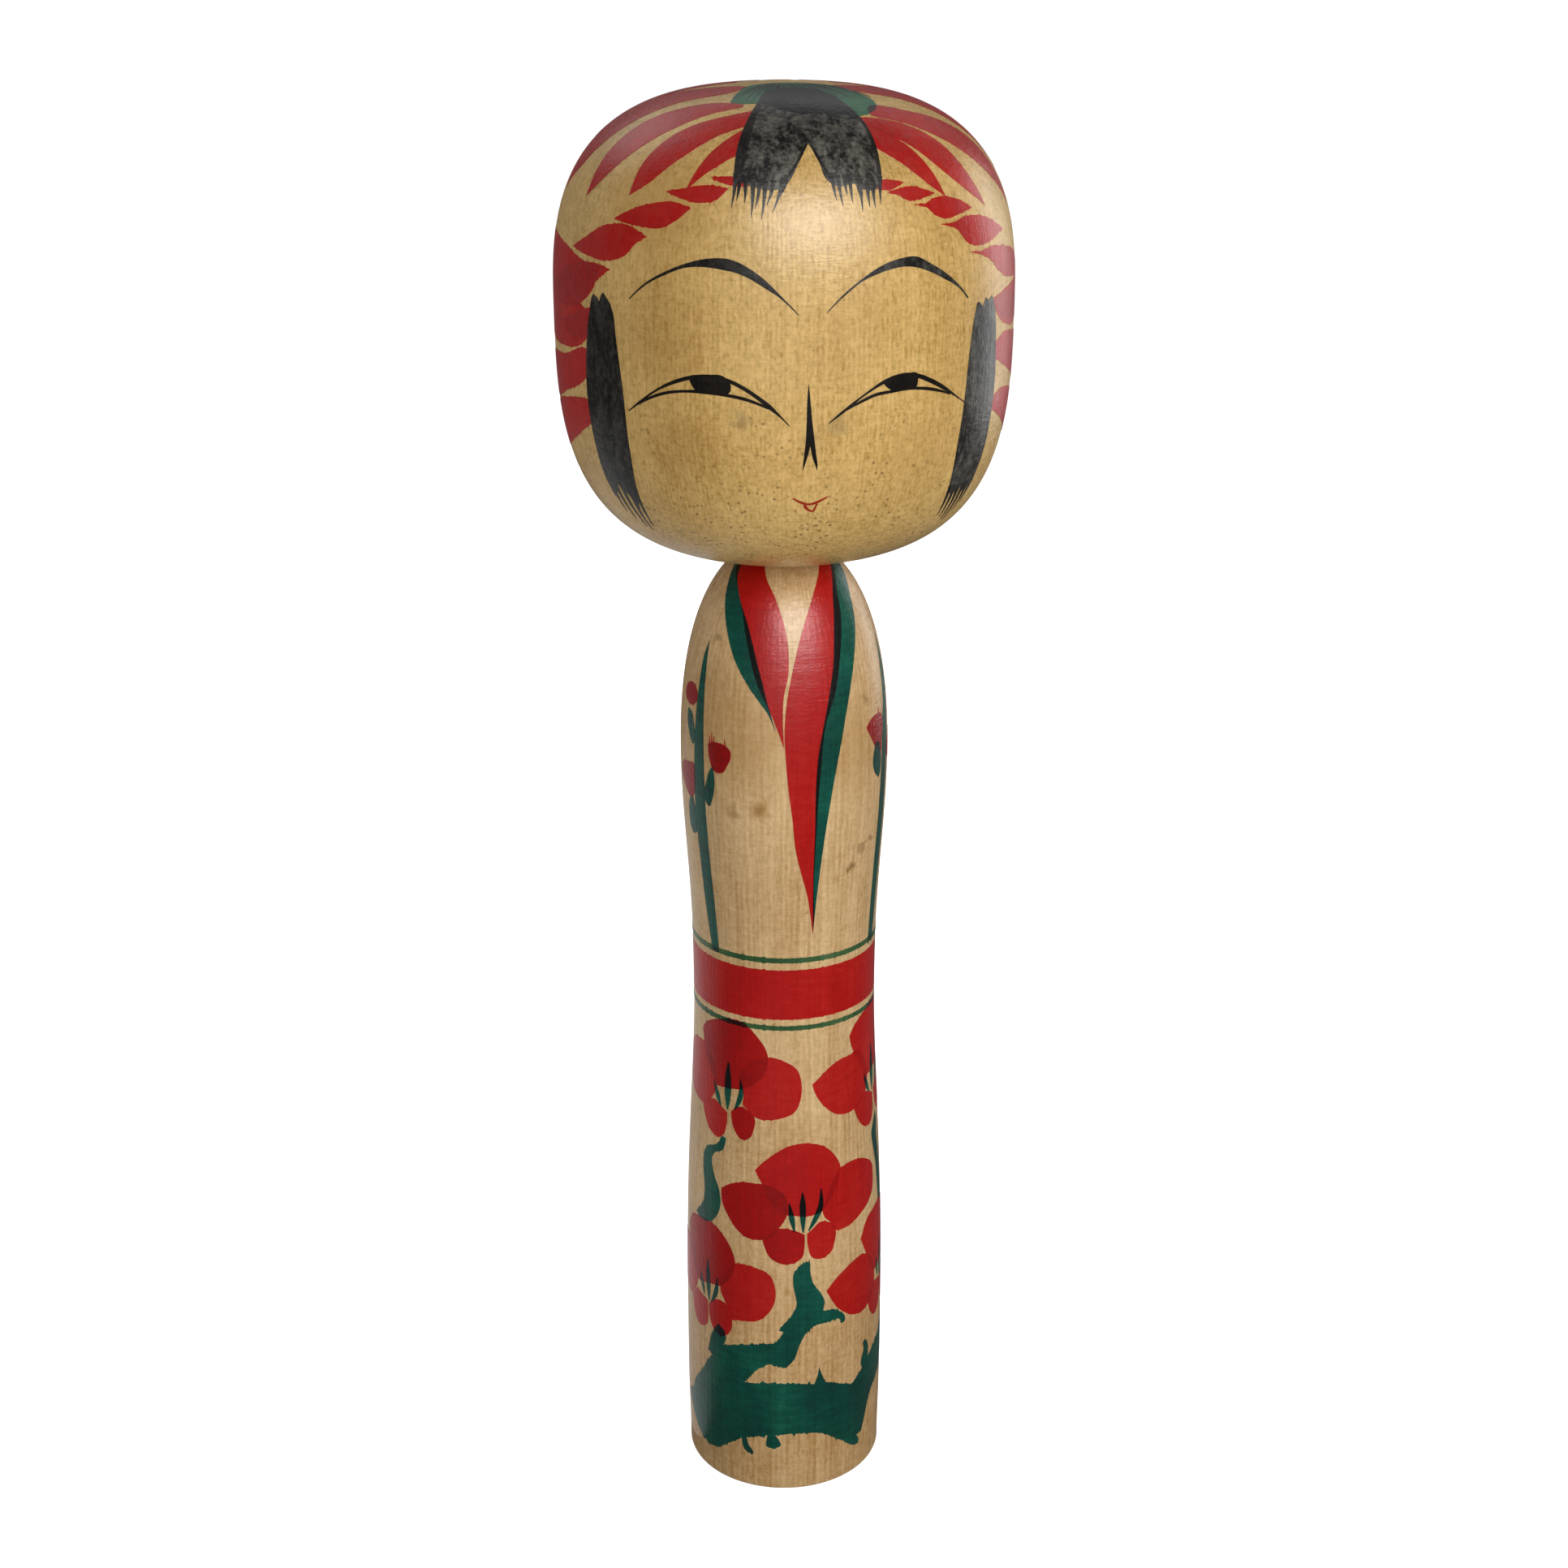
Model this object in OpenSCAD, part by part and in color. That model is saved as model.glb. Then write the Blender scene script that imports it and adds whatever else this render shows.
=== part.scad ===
// Turned wooden kokeshi doll: a body with a neck tenon, and a head that plugs onto it and turns.
// +Z is up, the face looks towards -Y, and the origin is the middle of the foot. Millimetres.

/* [Body] */
// Height of the body, from the ground to the seat that the head rests on
body_h = 212.5; // [180:0.5:260]
// Diameter of the foot, where the body stands
foot_d = 43.2; // [34:0.1:52]
// Radius of the worn edge round the foot
foot_round = 0.8; // [0.4:0.1:3]
// Diameter of the belly, the fullest ring below the waist
belly_d = 43.8; // [34:0.1:52]
// Height of the belly above the ground
belly_z = 20; // [10:1:60]
// Diameter of the waist, under the sash
waist_d = 39; // [30:0.1:48]
// Height of the waist above the ground
waist_z = 116; // [90:1:140]
// How late the belly draws in towards the waist: 1 is even, more is later
belly_ease = 1.75; // [1:0.05:2.5]
// Diameter of the shoulders, the fullest ring above the waist
shoulder_d = 43.2; // [34:0.1:52]
// Height of the shoulders above the ground
shoulder_z = 169; // [146:1:175]
// How late the waist opens out towards the shoulders: 1 is even, more is later
shoulder_ease = 1.25; // [1:0.05:2.5]
// Fullness of the rounding over the shoulders: 2 is an ellipse, more is squarer
shoulder_full = 2.35; // [2:0.05:4]

/* [Head] */
// Height of the head
head_h = 90.5; // [72:0.5:110]
// Greatest diameter of the head
head_d = 89.8; // [70:0.1:110]
// Height of the head's widest ring above its underside
cheek_z = 49.5; // [38:0.5:60]
// Fullness of the crown: 2 is an ellipse, more is squarer
crown_full = 2.8; // [2:0.05:4]
// Fullness of the cheeks and chin, on the same scale
cheek_full = 3.1; // [2:0.05:4]
// Width of the flat faced on the head's underside, beyond the seat that it rests on
chin_flat_w = 5.5; // [1:0.5:10]

/* [Neck] */
// Diameter of the tenon on the body
tenon_d = 11; // [8:0.1:14]
// Width of the flat seat round the tenon, which the head rests on
seat_w = 2; // [1.5:0.1:4]
// Height of the tenon above the seat
tenon_h = 18; // [10:0.5:24]
// Chamfer round the tenon's tip
tenon_chamfer = 1; // [0.4:0.1:2]
// Play between the tenon and its socket, all round
neck_play = 0.05; // [0.02:0.01:0.09]
// Room in the socket above the tenon's tip
socket_spare = 1.5; // [0.5:0.5:4]
// Depth of the drill's cone at the end of the socket
drill_tip = 2; // [0.5:0.5:4]
// Chamfer round the socket's mouth
socket_chamfer = 0.8; // [0.3:0.1:1.2]

/* [Hidden] */

// Bands in each stretch of an outline, and steps round the axis
BANDS = 28;
ROUND_STEPS = 144;
WOOD = [0.84, 0.73, 0.53];
FACE_WOOD = [0.80, 0.66, 0.43];

// Radius of the socket's bore: the tenon's and its play
socket_r = tenon_d / 2 + neck_play;
// Outer radius of the seat, where the shoulders end
seat_r = tenon_d / 2 + seat_w;
// Radius of the flat on the head's underside, where the chin begins
chin_flat_r = seat_r + chin_flat_w;

// Runs from 0 to 1 as x does, level at both ends, and later for a larger lateness
function ease(x, lateness) = pow(sin(90 * pow(x, lateness)), 2);

// Height of a rounding of full radius r at the ring of radius ring_r, as a share of its whole rise
function rise_at(ring_r, r, full) = pow(1 - pow(ring_r / r, full), 1 / full);

// Points of a rounding from the ring of radius r at height z to the ring of radius end_r,
// which lies the height rise above it, or below it where rise is negative
function rounding(r, z, end_r, rise, full) =
    let(
        whole_rise = rise / rise_at(end_r, r, full),
        end_angle = acos(pow(end_r / r, full / 2))
    )
    [
        for (i = [1 : BANDS])
            let(angle = end_angle * i / BANDS)
            [r * pow(cos(angle), 2 / full), z + whole_rise * pow(sin(angle), 2 / full)]
    ];

// Points of a swell from radius r0 at height z0 to radius r1 at height z1
function swell(r0, z0, r1, z1, lateness) =
    [
        for (i = [1 : BANDS])
            let(x = i / BANDS)
            [r0 + (r1 - r0) * ease(x, lateness), z0 + (z1 - z0) * x]
    ];

// Points of the worn edge of the foot, a quarter circle
function foot_edge() =
    [
        for (i = [0 : 6])
            let(angle = -90 + 15 * i)
            [foot_d / 2 - foot_round * (1 - cos(angle)), foot_round * (1 + sin(angle))]
    ];

// Outline of the body from the middle of the foot up to the seat
function body_side() = concat(
    foot_edge(),
    swell(foot_d / 2, foot_round, belly_d / 2, belly_z, 1),
    swell(belly_d / 2, belly_z, waist_d / 2, waist_z, belly_ease),
    swell(waist_d / 2, waist_z, shoulder_d / 2, shoulder_z, shoulder_ease),
    rounding(shoulder_d / 2, shoulder_z, seat_r, body_h - shoulder_z, shoulder_full)
);

// Outline of the tenon from the seat up to its tip
function tenon_side() = [
    [tenon_d / 2, body_h],
    [tenon_d / 2, body_h + tenon_h - tenon_chamfer],
    [tenon_d / 2 - tenon_chamfer, body_h + tenon_h]
];

// Outline of the head from its chin flat up to the crown. Heights are above the underside
function head_side() =
    let(
        chin = rounding(head_d / 2, cheek_z, chin_flat_r, -cheek_z, cheek_full),
        crown = rounding(head_d / 2, cheek_z, 0, head_h - cheek_z, crown_full)
    )
    concat([for (i = [len(chin) - 1 : -1 : 0]) chin[i]], [[head_d / 2, cheek_z]], crown);

// Outline of the socket from its mouth to the point of the drill's cone
function socket_side() = [
    [0, tenon_h + socket_spare + drill_tip],
    [socket_r, tenon_h + socket_spare],
    [socket_r, socket_chamfer],
    [socket_r + socket_chamfer, 0]
];

module body() {
    color(WOOD)
        rotate_extrude($fn = ROUND_STEPS)
            polygon(concat([[0, 0]], body_side(), tenon_side(), [[0, body_h + tenon_h]]));
}

module head() {
    color(FACE_WOOD)
        translate([0, 0, body_h])
            rotate_extrude($fn = ROUND_STEPS)
                polygon(concat(socket_side(), head_side()));
}

body();
head();
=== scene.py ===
"""Looks of the kokeshi doll: turned wood shells, thin films of dye and ink, floor, light and camera."""
from math import acos, cos, pi, radians, sin

import bpy
import numpy as np
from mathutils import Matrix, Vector
from mathutils.geometry import delaunay_2d_cdt


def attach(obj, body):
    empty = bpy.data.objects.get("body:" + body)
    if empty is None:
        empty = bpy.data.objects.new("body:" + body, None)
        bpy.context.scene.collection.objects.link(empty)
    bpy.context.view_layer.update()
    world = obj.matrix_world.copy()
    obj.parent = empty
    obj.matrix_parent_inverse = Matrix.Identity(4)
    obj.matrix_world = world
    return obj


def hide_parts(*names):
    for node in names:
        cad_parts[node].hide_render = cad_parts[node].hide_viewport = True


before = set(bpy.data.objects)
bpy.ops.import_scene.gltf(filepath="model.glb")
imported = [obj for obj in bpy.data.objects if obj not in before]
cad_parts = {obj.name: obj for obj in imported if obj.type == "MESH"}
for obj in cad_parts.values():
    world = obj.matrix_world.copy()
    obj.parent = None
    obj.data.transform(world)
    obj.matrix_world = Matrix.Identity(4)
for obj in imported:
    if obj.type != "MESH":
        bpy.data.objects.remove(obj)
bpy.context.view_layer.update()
scene = bpy.context.scene
scene.view_settings.view_transform = "Standard"

# The camera looks 20 degrees down at the front of the doll
camera_data = bpy.data.cameras.new("camera")
camera_data.lens = 54.3
camera_data.sensor_width = 36
camera = bpy.data.objects.new("camera", camera_data)
camera.location = (0, -0.4676, 0.3313)
camera.rotation_euler = (radians(90 - 20), 0, 0)
scene.collection.objects.link(camera)
scene.camera = camera

# Sizes in millimetres, repeated from the CAD part
FOOT_R = 21.6
FOOT_ROUND = 0.8
BELLY_R, BELLY_Z = 21.9, 20
WAIST_R, WAIST_Z = 19.5, 116
SHOULDER_R, SHOULDER_Z = 21.6, 169
SEAT_R, SEAT_Z = 7.5, 212.5
TENON_R, TENON_H = 5.5, 18
HEAD_R, HEAD_H, CHEEK_Z = 44.9, 90.5, 49.5
CHIN_R = 13
SOCKET_R, SOCKET_H = 5.55, 19.5
# The face is turned a little to its left, in degrees
FACE_TURN = 6.5
# How far a film of dye stands above the wood, and how deep it soaks in, in millimetres
FILM_TOP, FILM_BOTTOM = 0.06, -0.03
# How much each later coat adds, as a share of the first
LATER_COAT = 0.6
# Whiskers of run dye round a whole turn
WHISKERS = 1200
# Steps round each turned shell, and the angle in degrees from which an edge of it stays sharp
ROUND_STEPS = 288
SHARP_ANGLE = 35
# Height of the relief in the wood's surface, in metres
RELIEF = 0.00022
# Marks a sharp corner in an outline
C = "corner"


# ---- Turned surfaces ----


def swell(r0, z0, r1, z1, lateness, steps=60):
    """Points (radius, height) from one ring to another, level at both ends."""
    x = np.arange(1, steps + 1) / steps
    return np.c_[r0 + (r1 - r0) * np.sin(pi / 2 * x**lateness) ** 2, z0 + (z1 - z0) * x]


def rounding(r, z, end_r, rise, full, steps=110):
    """Points of a rounding from the ring r at height z to the ring end_r, rise above it."""
    whole = rise / (1 - (end_r / r) ** full) ** (1 / full)
    a = acos((end_r / r) ** (full / 2)) * np.arange(1, steps + 1) / steps
    return np.c_[r * np.cos(a) ** (2 / full), z + whole * np.sin(a) ** (2 / full)]


def body_side():
    """The body's painted side, from the foot's edge up to the seat."""
    return np.vstack([
        [[FOOT_R, FOOT_ROUND]],
        swell(FOOT_R, FOOT_ROUND, BELLY_R, BELLY_Z, 1),
        swell(BELLY_R, BELLY_Z, WAIST_R, WAIST_Z, 1.75),
        swell(WAIST_R, WAIST_Z, SHOULDER_R, SHOULDER_Z, 1.25),
        rounding(SHOULDER_R, SHOULDER_Z, SEAT_R, SEAT_Z - SHOULDER_Z, 2.35),
    ])


def head_side():
    """The head's side, from the crown's pole down to the chin's flat."""
    crown = rounding(HEAD_R, CHEEK_Z, 0, HEAD_H - CHEEK_Z, 2.8)
    chin = rounding(HEAD_R, CHEEK_Z, CHIN_R, -CHEEK_Z, 3.1)
    side = np.vstack([crown[::-1], [[HEAD_R, CHEEK_Z]], chin])
    side[0, 0] = 0
    return side + [0, SEAT_Z]


class Surface:
    """A turned surface spread out as a sheet, in millimetres.

    On the body a sheet point is (distance round, distance up the side). On the head it is
    (right, forward) of the crown's pole, both measured along the surface.
    """

    # Radius that a turn round the body's sheet is measured at
    WIDE = 21

    def __init__(self, side, head):
        self.head = head
        self.turn = radians(FACE_TURN) if head else 0
        self.r, self.z = side.T
        self.s = np.r_[0, np.cumsum(np.hypot(*np.diff(side, axis=0).T))]
        slope_r = np.gradient(self.r, self.s)
        slope_z = np.gradient(self.z, self.s)
        sign = -1 if head else 1
        self.normal_r, self.normal_z = sign * slope_z, -sign * slope_r

    def sheet(self, points):
        """Sheet points for rows of (degrees from the front, height, ...)."""
        points = np.array(points, float)
        a = np.radians(points[:, 0])
        order = slice(None, None, -1) if self.head else slice(None)
        s = np.interp(points[:, 1], self.z[order], self.s[order])
        first, second = (s * np.sin(a), s * np.cos(a)) if self.head else (a * self.WIDE, s)
        return np.c_[first, second, points[:, 2:]]

    def around(self, xy):
        """Angle from the front, in radians, and distance along the side."""
        if self.head:
            return np.arctan2(xy[:, 0], xy[:, 1]), np.hypot(xy[:, 0], xy[:, 1])
        return xy[:, 0] / self.WIDE, xy[:, 1]

    def local(self, xy):
        """Directions round and along the side in the sheet, and how much the sheet shrinks round it."""
        a, s = self.around(xy)
        r = np.interp(s, self.s, self.r)
        if self.head:
            return np.c_[np.cos(a), -np.sin(a)], np.c_[np.sin(a), np.cos(a)], r / np.maximum(s, 0.01)
        one, zero = np.ones_like(a), np.zeros_like(a)
        return np.c_[one, zero], np.c_[zero, one], r / self.WIDE

    def place(self, xy, lift):
        """Points in metres, lift millimetres off the surface, and their normals."""
        a, s = self.around(xy)
        a = a + self.turn
        r, z, nr, nz = (np.interp(s, self.s, v) for v in (self.r, self.z, self.normal_r, self.normal_z))
        out = np.c_[np.sin(a), -np.cos(a)]
        normal = np.c_[out * nr[:, None], nz]
        normal /= np.linalg.norm(normal, axis=1)[:, None]
        return (np.c_[out * r[:, None], z] + normal * lift) / 1000, normal


BODY = Surface(body_side(), head=False)
HEAD = Surface(head_side(), head=True)


def turned_shell(name, side, body, material):
    """A closed turned piece from its outline of (radius, height), with its map wrapped round it."""
    side = np.array(side)
    side = side[np.r_[True, np.hypot(*np.diff(side, axis=0).T) > 1e-6]]
    a = np.arange(ROUND_STEPS) * 2 * pi / ROUND_STEPS
    points = [[0, 0, side[0, 1]]]
    for r, z in side[1:-1]:
        points.extend(np.c_[r * np.sin(a), -r * np.cos(a), np.full_like(a, z)])
    points.append([0, 0, side[-1, 1]])
    points = np.array(points) / 1000
    rows = len(side) - 2
    along = np.r_[0, np.cumsum(np.hypot(*np.diff(side, axis=0).T))]
    along /= along[-1]
    faces, places = [], []
    for i in range(ROUND_STEPS):
        j = (i + 1) % ROUND_STEPS
        left, right = i / ROUND_STEPS, (i + 1) / ROUND_STEPS
        faces.append((0, 1 + j, 1 + i))
        places += [(left, along[0]), (right, along[1]), (left, along[1])]
        for k in range(rows - 1):
            low, high = 1 + k * ROUND_STEPS, 1 + (k + 1) * ROUND_STEPS
            faces.append((low + i, low + j, high + j, high + i))
            here, above = along[k + 1], along[k + 2]
            places += [(left, here), (right, here), (right, above), (left, above)]
        low = 1 + (rows - 1) * ROUND_STEPS
        faces.append((low + i, low + j, len(points) - 1))
        places += [(left, along[-2]), (right, along[-2]), (left, along[-1])]
    mesh = bpy.data.meshes.new(name)
    mesh.from_pydata(points.tolist(), [], faces)
    mesh.uv_layers.new(name="OFBake").data.foreach_set("uv", np.array(places, np.float32).ravel())
    mesh.shade_smooth()
    mesh.set_sharp_from_angle(angle=radians(SHARP_ANGLE))
    return finish_piece(name, mesh, body, material)


def finish_piece(name, mesh, body, material):
    """Links a piece's mesh, gives it its material and lets it ride on its body."""
    piece = bpy.data.objects.new(name, mesh)
    scene.collection.objects.link(piece)
    mesh.materials.append(material)
    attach(piece, body)
    return piece


# ---- Brushwork ----


def smooth(points, closed=True, step=0.4):
    """A smooth line through the points, with breaks at the ones marked as corners."""
    corner = [C in p[2:] for p in points]
    points = np.array([[v for v in p if v != C] for p in points], float)
    count = len(points)
    path = []
    for i in range(count if closed else count - 1):
        j = (i + 1) % count
        here, there = points[i], points[j]
        length = max(np.hypot(*(there - here)[:2]), 1e-6)
        pulls = []
        for k in (i, j):
            before, at, after = points[k - 1], points[k], points[(k + 1) % count]
            d0, d1 = (max(np.hypot(*d[:2]), 1e-6) for d in (at - before, after - at))
            open_end = not closed and k in (0, count - 1)
            if corner[k] or open_end:
                pulls.append((there - here) / length)
            else:
                pulls.append(((at - before) / d0 * d1 + (after - at) / d1 * d0) / (d0 + d1))
        steps = max(2, int(np.ceil(length / step)))
        for t in np.arange(steps) / steps:
            path.append(
                (1 + 2 * t) * (1 - t) ** 2 * here + t * (1 - t) ** 2 * length * pulls[0]
                + t * t * (3 - 2 * t) * there - t * t * (1 - t) * length * pulls[1]
            )
    if not closed:
        path.append(points[-1])
    return np.array(path)


class Painting:
    """The dyes and inks on one surface, in the order in which they are brushed on."""

    def __init__(self, surface, body, seed):
        self.surface = surface
        self.body = body
        self.shapes = []
        self.rng = np.random.default_rng(seed)
        self.whiskers = self.rng.random(WHISKERS) ** 5

    def area(self, motif, dye, points, coat=None, bleed=0.35, worn=0.0, angles=True):
        """A painted area. Areas of the same coat don't darken each other where they overlap."""
        points = [tuple(p) for p in points]
        if angles:
            marks = [p[2:] for p in points]
            sheet = self.surface.sheet([p[:2] for p in points])
            points = [tuple(p) + m for p, m in zip(sheet.tolist(), marks)]
        outline = smooth(points)
        if bleed:
            outline = self.soak(outline, bleed)
        self.add(motif, dye, outline, coat, worn)

    def line(self, motif, dye, points, coat=None, worn=0.0, angles=True, step=0.4):
        """A brush line through points of (degrees, height, width in millimetres)."""
        points = self.surface.sheet(points).tolist() if angles else points
        path = smooth([tuple(p) for p in points], closed=False, step=step)
        xy, half = path[:, :2], path[:, 2:] / 2
        forward = np.gradient(xy, axis=0)
        across, along, shrink = self.surface.local(xy)
        u = (forward * across).sum(1) * shrink
        v = (forward * along).sum(1)
        size = np.hypot(u, v)
        side = (-v / size / shrink)[:, None] * across + (u / size)[:, None] * along
        outline = np.vstack([xy + side * half, (xy - side * half)[::-1]])
        self.add(motif, dye, outline, coat, worn)

    def add(self, motif, dye, outline, coat, worn):
        x, y = outline.T
        if (x * np.roll(y, -1) - y * np.roll(x, -1)).sum() < 0:
            outline = outline[::-1]
        coat = coat or f"{motif} {len(self.shapes)}"
        self.shapes.append((motif, dye, coat, worn, outline))

    def soak(self, outline, length):
        """Draws the outline out along the grain, where the wet dye has run in fine whiskers."""
        x, y = outline.T
        area = (x * np.roll(y, -1) - y * np.roll(x, -1)).sum()
        forward = np.roll(outline, -1, axis=0) - np.roll(outline, 1, axis=0)
        out = np.c_[forward[:, 1], -forward[:, 0]] * np.sign(area)
        out /= np.maximum(np.linalg.norm(out, axis=1), 1e-9)[:, None]
        _, along, _ = self.surface.local(outline)
        upward = (out * along).sum(1)
        angle = self.surface.around(outline)[0] / (2 * pi) * WHISKERS
        low = np.floor(angle).astype(int)
        share = angle - low
        before, after = self.whiskers[low % WHISKERS], self.whiskers[(low + 1) % WHISKERS]
        run = before * (1 - share) + after * share
        return outline + along * (run * upward * length)[:, None]

    def films(self, material, grid=1.6):
        """Cuts all the shapes into one sheet of triangles, and makes a thin closed film for each motif.

        Points of a grid, in millimetres, let the films follow the round surface.
        """
        points, faces = [], []
        for *_, outline in self.shapes:
            faces.append(list(range(len(points), len(points) + len(outline))))
            points.extend(outline.tolist())
        low, high = np.min(points, axis=0), np.max(points, axis=0)
        for row, y in enumerate(np.arange(low[1], high[1], grid)):
            for x in np.arange(low[0] + row % 2 * grid / 2, high[0], grid):
                points.append((x, y))
        sheet = [Vector(p) for p in points]
        # Output type 1 keeps only the triangles inside the outlines
        corners, _, triangles, _, _, owners = delaunay_2d_cdt(sheet, [], faces, 1, 1e-4, True)
        corners = np.array([tuple(c) for c in corners])
        motifs = {}
        for triangle, owner in zip(triangles, owners):
            if owner:
                motifs.setdefault(self.shapes[max(owner)][0], []).append((triangle, owner))
        for motif, parts in motifs.items():
            self.film(motif, corners, parts, material)

    def film(self, motif, corners, parts, material):
        """One motif's film: a top, a bottom sunk into the wood, and a rim round each edge."""
        triangles = np.array([t for t, _ in parts])
        used, flat = np.unique(triangles, return_inverse=True)
        triangles = flat.reshape(-1, 3)
        xy = corners[used]
        count = len(xy)
        top, normal = self.surface.place(xy, FILM_TOP)
        bottom, _ = self.surface.place(xy, FILM_BOTTOM)
        first, second, third = triangles[0]
        facing = np.cross(top[second] - top[first], top[third] - top[first])
        if np.dot(facing, normal[first]) < 0:
            triangles = triangles[:, ::-1]
        edges = {}
        for n, (a, b, c) in enumerate(triangles.tolist()):
            for edge in ((a, b), (b, c), (c, a)):
                edges[edge] = n
        rim = [(edge, n) for edge, n in edges.items() if edge[::-1] not in edges]
        faces = triangles.tolist() + (triangles[:, ::-1] + count).tolist()
        faces += [(b, a, a + count, b + count) for (a, b), _ in rim]
        source = list(range(len(triangles))) * 2 + [n for _, n in rim]
        mesh = bpy.data.meshes.new(motif)
        mesh.from_pydata(np.vstack([top, bottom]).tolist(), [], faces)
        owners = [[self.shapes[i] for i in sorted(owner)] for _, owner in parts]
        layers = {"worn": [shapes[-1][3] for shapes in owners]}
        for dye in DYES:
            coats = [len({coat for _, used_dye, coat, *_ in shapes if used_dye == dye}) for shapes in owners]
            layers[dye] = [min(n, 1) + LATER_COAT * max(n - 1, 0) for n in coats]
        for name, values in layers.items():
            layer = mesh.attributes.new(name, "FLOAT", "FACE")
            layer.data.foreach_set("value", np.array(values, np.float32)[source])
        # The top fills the map. The bottom and the rim, which come after it, are tucked into its corner
        low = xy.min(axis=0)
        share = (xy - low) / max((xy.max(axis=0) - low).max(), 1e-6)
        places = np.vstack([0.02 + 0.98 * share, 0.015 * share])
        loops = np.array([v for face in faces for v in face])
        rim_start, bottom_start = len(triangles) * 6, len(triangles) * 3
        maps = places[loops]
        maps[rim_start:] = places[loops[rim_start:] % count + count]
        mesh.uv_layers.new(name="OFBake").data.foreach_set("uv", maps.astype(np.float32).ravel())
        mesh.shade_smooth()
        normals = np.vstack([normal, normal])[loops]
        normals[bottom_start:rim_start] *= -1
        mesh.normals_split_custom_set(normals.tolist())
        finish_piece(motif, mesh, self.body, material)


# ---- Painted motifs of the body: points are (degrees from the front, height) ----


def moved(points, turn, rise=0.0):
    """The same points further round the doll and higher."""
    return [(p[0] + turn, p[1] + rise) + tuple(p[2:]) for p in points]


def sash(paint):
    """A red band between two thin green ones, all the way round."""
    for low, high, dye in ((128.7, 129.8, "thin_green"), (115.7, 127, "red"), (113.2, 114.2, "thin_green")):
        turns = np.arange(-180, 180, 0.9)
        edge = [(a, high) for a in turns] + [(180, high), (180, low)]
        edge += [(a, low) for a in turns[::-1]]
        sheet = paint.surface.sheet(edge)
        paint.add("sash", dye, paint.soak(sheet, 0.25), None, 0)


def collar(paint):
    """The kimono's collar: two red bands that cross, each with a green one behind it."""
    paint.area("collar", "green", [
        (-88, 212, C), (-66, 210.3), (-58.5, 208.2), (-50.3, 204.3), (-40.7, 199.2), (-30.3, 193.3),
        (-19.4, 188.2), (-8.5, 183.2), (-4.4, 179.8, C), (-8, 184.2), (-15.3, 192.7), (-25.7, 200.8),
        (-40.3, 206.2), (-50, 209), (-57, 212, C)])
    paint.area("collar", "red", [
        (-74, 212, C), (-60, 210), (-41.2, 206.5), (-32.5, 203.5), (-25.3, 198.5), (-15.7, 189.5),
        (-5.7, 182.2), (-1.6, 178.2), (0, 176.3, C), (-0.6, 182), (-0.3, 186.2), (2.6, 191.8), (2.9, 194),
        (2, 198.2), (-1.6, 202.3), (-7.5, 205.8), (-16.6, 208.8), (-27, 212, C)])
    paint.area("collar", "green", [
        (74, 212, C), (54.3, 209.2), (43.4, 206.2), (35.6, 200.5), (29.7, 191.8), (24.7, 184.8),
        (18.5, 174.1), (17.3, 167.7), (17.2, 158), (16.8, 147), (17.4, 134.9, C), (20, 146.3), (24.4, 160.6),
        (28.1, 169.1), (32.4, 176.6), (36.9, 183.2), (44.7, 191.5), (54.2, 199.2), (63.3, 205.5),
        (75, 208.8), (92, 212, C)])
    paint.area("collar", "red", [
        (50, 212, C), (39.7, 210), (28.8, 207.5), (20.2, 204.3), (13.4, 200.5), (8.4, 196.2), (4.9, 191.8),
        (1.5, 185.5), (0.3, 178.5), (0.8, 174.9), (2.4, 167.7), (4.7, 160.6), (6.4, 154.5), (9.7, 149.1),
        (13.4, 144.1), (16.1, 138.4), (17.4, 134.9, C), (18, 139), (17.2, 146.3), (17.5, 151.6),
        (18.8, 164.9), (20.3, 172.4), (23.8, 181.5), (29.7, 186.8), (35.9, 194.2), (43.4, 201.8),
        (48.8, 206.5), (60.6, 209.5), (72, 212, C)])


def bud(paint, motif, points):
    """A bud, painted three times so that it dries dark."""
    for coat in ("first", "second", "third"):
        paint.area(motif, "red", points, coat=coat + " bud")


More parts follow.
